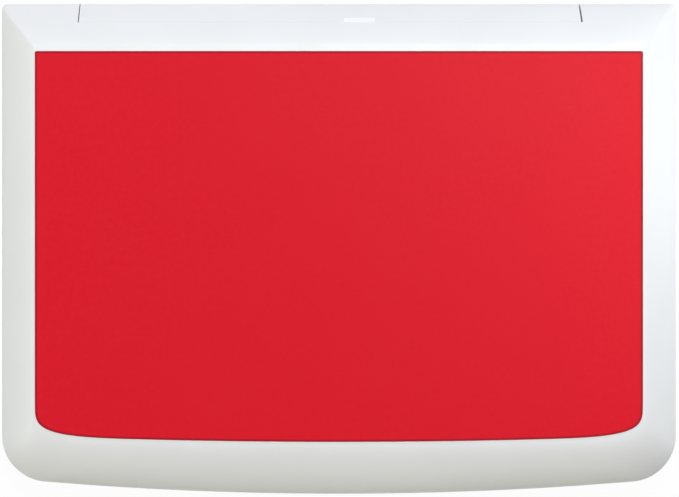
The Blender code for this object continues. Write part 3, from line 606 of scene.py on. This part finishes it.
def node(tree, kind, inputs=None, **settings):
    """A shader node with its settings, its inputs given as values or as sockets to link."""
    made = tree.nodes.new("ShaderNode" + kind)
    for name, value in settings.items():
        setattr(made, name, value)
    for name, value in (inputs or {}).items():
        if isinstance(value, bpy.types.NodeSocket):
            tree.links.new(value, made.inputs[name])
        else:
            made.inputs[name].default_value = value
    return made


def new_material(name, roughness, plain=None):
    """A new material with plain values on its shader: its node tree, its shader and the object
    coordinates."""
    made = bpy.data.materials.new(name)
    made.use_nodes = True
    tree = made.node_tree
    shader = tree.nodes["Principled BSDF"]
    shader.inputs["Roughness"].default_value = roughness
    for key, value in (plain or {}).items():
        shader.inputs[key].default_value = value
    return made, tree, shader, node(tree, "TexCoord").outputs["Object"]


def noise(tree, place, scale, detail=2.0, roughness=0.5):
    """Noise with a number of cells to the metre."""
    return node(tree, "TexNoise", {"Vector": place, "Scale": scale, "Detail": detail,
                                   "Roughness": roughness}).outputs["Fac"]


def ramp(tree, factor, places, colours):
    """Colours at places along a factor."""
    made = node(tree, "ValToRGB", {"Fac": factor})
    ends = made.color_ramp.elements
    while len(ends) < len(places):
        ends.new(0.5)
    for end, place, colour in zip(ends, places, colours):
        end.position = place
        end.color = (*colour, 1.0)
    return made.outputs["Color"]


def paint(tree, shader, factor, places, colours):
    """Colours at places along a factor, as the shader's base colour."""
    tree.links.new(ramp(tree, factor, places, colours), shader.inputs["Base Color"])


def blend(tree, factor, under, over):
    """A plain colour over another one by a factor."""
    made = node(tree, "Mix", {0: factor, 6: under, 7: (*over, 1.0)}, data_type="RGBA")
    return made.outputs[2]


def gloss(tree, shader, factor, low, high):
    """The shader's roughness, from low to high along the middle of a noise's range."""
    made = node(tree, "MapRange", {"Value": factor, "From Min": 0.3, "From Max": 0.7,
                                   "To Min": low, "To Max": high})
    tree.links.new(made.outputs["Result"], shader.inputs["Roughness"])


def math_node(tree, operation, a, b=0.0):
    """One step of arithmetic on sockets or values."""
    return node(tree, "Math", {0: a, 1: b}, operation=operation).outputs[0]


def relief(tree, shader, height, depth, strength, under=None):
    """Bump of a given depth in metres, over another one if there is one."""
    inputs = {"Height": height, "Distance": depth, "Strength": strength}
    if under is not None:
        inputs["Normal"] = under
    made = node(tree, "Bump", inputs)
    tree.links.new(made.outputs["Normal"], shader.inputs["Normal"])
    return made.outputs["Normal"]


def moulded_white(name, colour, roughness=0.42):
    """White moulded plastic: faint cloudy tint, fine sparked grain and uneven gloss."""
    made, tree, shader, place = new_material(name, roughness)
    tints = [tuple(c * k for c in colour) for k in (0.985, 1.01)]
    paint(tree, shader, noise(tree, place, 55.0, 3.0), (0.35, 0.65), tints)
    gloss(tree, shader, noise(tree, place, 140.0, 4.0), roughness - 0.05, roughness + 0.06)
    grain = relief(tree, shader, noise(tree, place, 4200.0, 2.0), 0.00002, 0.35)
    relief(tree, shader, noise(tree, place, 90.0, 1.0), 0.00006, 0.2, grain)
    return made


def red_print():
    """Coated red label: even red with a faint mottle, painted shade in a darker red along its edge
    where the points are marked, a fine film texture and satin gloss."""
    made, tree, shader, place = new_material("red_print", 0.3, {"Specular IOR Level": 0.07})
    print_red = ramp(tree, noise(tree, place, 900.0, 4.0, 0.7), (0.3, 0.7), PRINT_REDS)
    # The marked rim gets painted shade: a darker red where the pocket's edge would shadow the
    # label.
    rim = node(tree, "Attribute", attribute_name="mark").outputs["Fac"]
    tree.links.new(blend(tree, rim, print_red, PRINT_EDGE_SHADE), shader.inputs["Base Color"])
    gloss(tree, shader, noise(tree, place, 60.0, 3.0), 0.285, 0.345)
    relief(tree, shader, noise(tree, place, 3000.0, 3.0), 0.000012, 0.4)
    return made


def plain_paper():
    """Uncoated white label paper with fibres."""
    made, tree, shader, place = new_material("plain_paper", 0.6)
    fibre = noise(tree, place, 1500.0, 6.0, 0.75)
    paint(tree, shader, fibre, (0.3, 0.7), PAPER_WHITES)
    relief(tree, shader, fibre, 0.00003, 0.4)
    return made


def inked_weave():
    """Fine plain weave soaked with red ink: rounded thread crossings |cos x cos y| at a pitch of
    0.42 mm, alternate crossings set a little lower, and wet patches with more gloss. Its red is
    darker where the threads are low, painted shade in the gaps between them, and also varies with
    the wet patches."""
    made, tree, shader, place = new_material("inked_weave", 0.5, {"Specular IOR Level": 0.22})
    axes = node(tree, "SeparateXYZ", {"Vector": place}).outputs
    wobble = math_node(tree, "MULTIPLY", noise(tree, place, 700.0, 2.0), 0.6)
    waves = []
    for axis in ("X", "Y"):
        turn = math_node(tree, "MULTIPLY", axes[axis], math.pi / THREAD_PITCH)
        waves.append(math_node(tree, "COSINE", math_node(tree, "ADD", turn, wobble)))
    crossing = math_node(tree, "MULTIPLY", *waves)
    thread = math_node(tree, "POWER", math_node(tree, "ABSOLUTE", crossing), 0.6)
    height = math_node(tree, "ADD", thread, math_node(tree, "MULTIPLY", crossing, 0.25))
    wet = noise(tree, place, 45.0, 4.0)
    # Painted shade: the red darkens where the threads are low, in the gaps between them; the wet
    # patches add tone at random.
    shade = math_node(tree, "ADD", math_node(tree, "MULTIPLY", thread, 0.6),
                      math_node(tree, "MULTIPLY", wet, 0.4))
    paint(tree, shader, shade, (0.2, 0.55, 0.8), CLOTH_REDS)
    gloss(tree, shader, wet, 0.56, 0.42)
    relief(tree, shader, height, 0.00009, 0.8)
    return made


def inked_felt():
    """Felt soaked with red ink: tangled fibres."""
    made, tree, shader, place = new_material("inked_felt", 0.9)
    fibre = noise(tree, place, 2500.0, 8.0, 0.8)
    paint(tree, shader, fibre, (0.3, 0.7), FELT_REDS)
    relief(tree, shader, fibre, 0.0002, 0.7)
    return made


def drawn_steel():
    """Drawn steel wire: bright, with fine lines along its length."""
    made, tree, shader, place = new_material("drawn_steel", 0.3, {"Metallic": 1.0})
    stretched = node(tree, "Mapping", {"Vector": place, "Scale": (0.03, 1.0, 1.0)})
    lines = noise(tree, stretched.outputs["Vector"], 9000.0, 3.0)
    paint(tree, shader, lines, (0.3, 0.7), STEEL_GREYS)
    gloss(tree, shader, lines, 0.28, 0.4)
    return made


def build_case():
    """The white mouldings, the pins and the labels."""
    lid_white = moulded_white("lid_white", CASE_WHITE)
    base_white = moulded_white("base_white", CASE_WHITE)
    piece("lid_moulding", lid_white, "lid", "case_plastic_lid", ["lid_shell"],
          shell(rings(lid_table())),
          ear_shell(NOTCH_LEFT - EAR_THICKNESS, NOTCH_LEFT),
          ear_shell(NOTCH_RIGHT, NOTCH_RIGHT + EAR_THICKNESS),
          hook_shell(), shell(rings(rib_table())[::-1], closed=True),
          *(ejector_shell(x, y) for x in EJECTOR_X for y in EJECTOR_Y), cut=notch_shell())
    grid, rim = label_grid()
    piece("red_label", red_print(), "lid", "label_red", ["lid_label"], shell(grid), mark=rim)
    piece("base_moulding", base_white, "base", "case_plastic_base", ["base_shell"],
          shell(rings(base_table())), block_shell())
    piece("under_label", plain_paper(), "base", "label_white", ["base_label"],
          shell(rings(under_label_table())))
    steel = drawn_steel()
    reach = EAR_THICKNESS + NOTCH_RIGHT - BLOCK_RIGHT
    piece("pin_left", steel, "base", "pin_steel", ["hinge_pin_left"],
          pin_shell(BLOCK_LEFT - reach, BLOCK_LEFT + PIN_SEAT))
    piece("pin_right", steel, "base", "pin_steel", ["hinge_pin_right"],
          pin_shell(BLOCK_RIGHT - PIN_SEAT, BLOCK_RIGHT + reach))


def build_pad():
    """The tray with its hook slot, the felt, the cloth cover and its frame."""
    piece("tray_moulding", moulded_white("tray_white", TRAY_WHITE), "base", "tray_plastic",
          ["pad_tray"], shell(rings(tray_table())), cut=slot_shell())
    felt = piece("pad_felt", inked_felt(), "base", "ink_felt", ["felt_core"],
                 shell(rings(felt_table())))
    cover = piece("pad_cover", inked_weave(), "base", "ink_cloth", ["pad_cloth"],
                  shell(cover_grid()))
    piece("pad_frame", moulded_white("frame_white", FRAME_WHITE, 0.36), "base", "frame_plastic",
          ["cloth_frame"], shell(rings(frame_table()), closed=True))


def plainly_seen(tree):
    """One for what the camera sees by itself, in a gloss or through something clear, and zero for
    light."""
    path = node(tree, "LightPath").outputs
    camera, glossy, clear = (path[f"Is {ray} Ray"] for ray in ("Camera", "Glossy", "Transmission"))
    return math_node(tree, "MAXIMUM", math_node(tree, "MAXIMUM", camera, glossy), clear)


def build_floor(scene):
    """A white floor that the camera sees as plain white with a trace of the case's shadow."""
    corners = [(x * FLOOR_HALF, y * FLOOR_HALF, FLOOR_DROP)
               for x, y in ((-1, -1), (1, -1), (1, 1), (-1, 1))]
    mesh = bpy.data.meshes.new("floor")
    mesh.from_pydata(corners, [], [(0, 1, 2, 3)])
    floor = bpy.data.objects.new("floor", mesh)
    scene.collection.objects.link(floor)
    white = bpy.data.materials.new("floor_white")
    white.use_nodes = True
    tree = white.node_tree
    shader = tree.nodes["Principled BSDF"]
    shader.inputs["Base Color"].default_value = FLOOR_WHITE
    shader.inputs["Roughness"].default_value = 0.9
    seen = math_node(tree, "MULTIPLY", plainly_seen(tree), FLOOR_GLOW)
    glow = node(tree, "Emission", {"Color": PURE_WHITE, "Strength": 1.0})
    mixed = node(tree, "MixShader", {0: seen, 1: shader.outputs[0], 2: glow.outputs[0]})
    tree.links.new(mixed.outputs[0], tree.nodes["Material Output"].inputs["Surface"])
    mesh.materials.append(white)


def build_sky(scene):
    """Surroundings that look white and give an even, weaker light."""
    world = bpy.data.worlds.new("studio")
    world.use_nodes = True
    scene.world = world
    tree = world.node_tree
    sky = tree.nodes["Background"]
    sky.inputs["Color"].default_value = PURE_WHITE
    sky.inputs["Strength"].default_value = SKY
    white = node(tree, "Background", {"Color": PURE_WHITE, "Strength": 1.0})
    mixed = node(tree, "MixShader", {0: plainly_seen(tree), 1: sky.outputs[0], 2: white.outputs[0]})
    tree.links.new(mixed.outputs[0], tree.nodes["World Output"].inputs["Surface"])


def build_lamps(scene):
    """Round lamps. The near ones only shade the slopes, so no gloss shows them."""
    for name, place, aim, size, power, colour in LAMPS:
        lamp = bpy.data.lights.new(name, "AREA")
        lamp.shape = "DISK"
        lamp.size = size
        lamp.energy = power
        lamp.color = colour
        light = bpy.data.objects.new(name, lamp)
        light.location = place
        light.visible_camera = False
        light.visible_glossy = size > NEAR_LAMP
        aim_line = Vector(aim) - Vector(place)
        light.rotation_euler = aim_line.to_track_quat("-Z", "Y").to_euler()
        scene.collection.objects.link(light)


def build_camera(scene):
    """The camera straight above, with a lens that gives the case its width in the picture."""
    pixel = 2 * HALF_WIDTH * MM / CASE_PIXELS
    camera = bpy.data.cameras.new("camera")
    camera.sensor_width = SENSOR
    camera.lens = SENSOR * (CAMERA_HEIGHT - OUTLINE_HEIGHT) / (PICTURE_PIXELS * pixel)
    seat = bpy.data.objects.new("camera", camera)
    seat.location = (SHIFT_PIXELS[0] * pixel, SHIFT_PIXELS[1] * pixel, CAMERA_HEIGHT)
    scene.collection.objects.link(seat)
    scene.camera = seat


def build_studio():
    """White floor, soft light and the camera."""
    scene = bpy.context.scene
    scene.view_settings.view_transform = "Standard"
    build_floor(scene)
    build_sky(scene)
    build_lamps(scene)
    build_camera(scene)


build_case()
build_pad()
build_studio()
bpy.context.view_layer.update()
